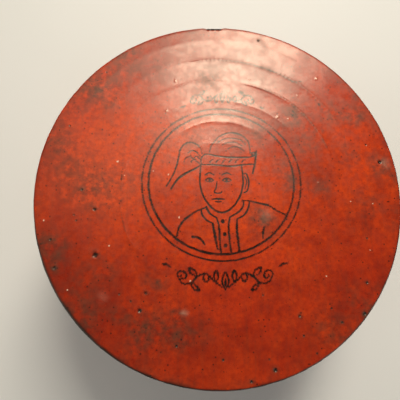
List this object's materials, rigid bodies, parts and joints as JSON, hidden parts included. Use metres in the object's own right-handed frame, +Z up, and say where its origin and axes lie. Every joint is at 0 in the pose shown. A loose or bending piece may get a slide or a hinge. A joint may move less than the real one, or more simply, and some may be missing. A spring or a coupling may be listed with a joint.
{
  "type": "bobbin box",
  "caption": "Round lacquered box with a deep lid that slides over its drum, a lift-out tray and wound bobbins standing inside.",
  "frame": {"origin": "on the ground, under the centre of the box", "axes": "+Z up along the axis of the drum and the lid; +Y towards the top of the picture incised on the lid; +X to its right"},
  "size_m": [0.1736, 0.1736, 0.1148],
  "materials": {
    "red_lacquer": "semi-gloss red lacquer over a black ground, worn at the edges",
    "black_lacquer": "semi-gloss black lacquer",
    "bamboo": "bare split bamboo, satin",
    "undyed_cotton": "spun cotton yarn, undyed",
    "indigo_cotton": "spun cotton yarn, indigo",
    "madder_cotton": "spun cotton yarn, madder red"
  },
  "bodies": {
    "drum": {"drum_wall": "black_lacquer", "drum_base_disc": "black_lacquer", "drum_base_hoop": "black_lacquer", "drum_rim_hoop": "red_lacquer", "foot_band": "black_lacquer"},
    "tray": {"tray_wall": "red_lacquer", "tray_floor_disc": "red_lacquer", "tray_flange": "black_lacquer"},
    "lid": {"lid_top_disc": "red_lacquer", "lid_wall": "red_lacquer", "lid_corner_hoop": "black_lacquer", "lid_band": "black_lacquer"},
    "bobbin_1": {"quill_1": "bamboo", "yarn_1": "undyed_cotton"},
    "bobbin_2": {"quill_2": "bamboo", "yarn_2": "indigo_cotton"},
    "bobbin_3": {"quill_3": "bamboo", "yarn_3": "madder_cotton"},
    "bobbin_4": {"quill_4": "bamboo", "yarn_4": "undyed_cotton"},
    "bobbin_5": {"quill_5": "bamboo", "yarn_5": "indigo_cotton"},
    "bobbin_6": {"quill_6": "bamboo", "yarn_6": "madder_cotton"},
    "bobbin_7": {"quill_7": "bamboo", "yarn_7": "undyed_cotton"}
  },
  "joints": [
    {"name": "tray_lift", "type": "slide", "parent": "drum", "child": "tray", "axis": [0, 0, 1], "range_m": [0, 0.2]},
    {"name": "lid_lift", "type": "slide", "parent": "tray", "child": "lid", "axis": [0, 0, 1], "range_m": [0, 0.14]},
    {"name": "bobbin_1_lift", "type": "slide", "parent": "drum", "child": "bobbin_1", "axis": [0, 0, 1], "range_m": [0, 0.11]},
    {"name": "bobbin_2_lift", "type": "slide", "parent": "drum", "child": "bobbin_2", "axis": [0, 0, 1], "range_m": [0, 0.11]},
    {"name": "bobbin_3_lift", "type": "slide", "parent": "drum", "child": "bobbin_3", "axis": [0, 0, 1], "range_m": [0, 0.11]},
    {"name": "bobbin_4_lift", "type": "slide", "parent": "drum", "child": "bobbin_4", "axis": [0, 0, 1], "range_m": [0, 0.11]},
    {"name": "bobbin_5_lift", "type": "slide", "parent": "drum", "child": "bobbin_5", "axis": [0, 0, 1], "range_m": [0, 0.11]},
    {"name": "bobbin_6_lift", "type": "slide", "parent": "drum", "child": "bobbin_6", "axis": [0, 0, 1], "range_m": [0, 0.11]},
    {"name": "bobbin_7_lift", "type": "slide", "parent": "drum", "child": "bobbin_7", "axis": [0, 0, 1], "range_m": [0, 0.11]}
  ],
  "couplings": [
    {"joint": "bobbin_1_lift", "follows": "tray_lift", "ratio": 0.55},
    {"joint": "bobbin_2_lift", "follows": "tray_lift", "ratio": 0.55},
    {"joint": "bobbin_3_lift", "follows": "tray_lift", "ratio": 0.55},
    {"joint": "bobbin_4_lift", "follows": "tray_lift", "ratio": 0.55},
    {"joint": "bobbin_5_lift", "follows": "tray_lift", "ratio": 0.55},
    {"joint": "bobbin_6_lift", "follows": "tray_lift", "ratio": 0.55},
    {"joint": "bobbin_7_lift", "follows": "tray_lift", "ratio": 0.55}
  ]
}
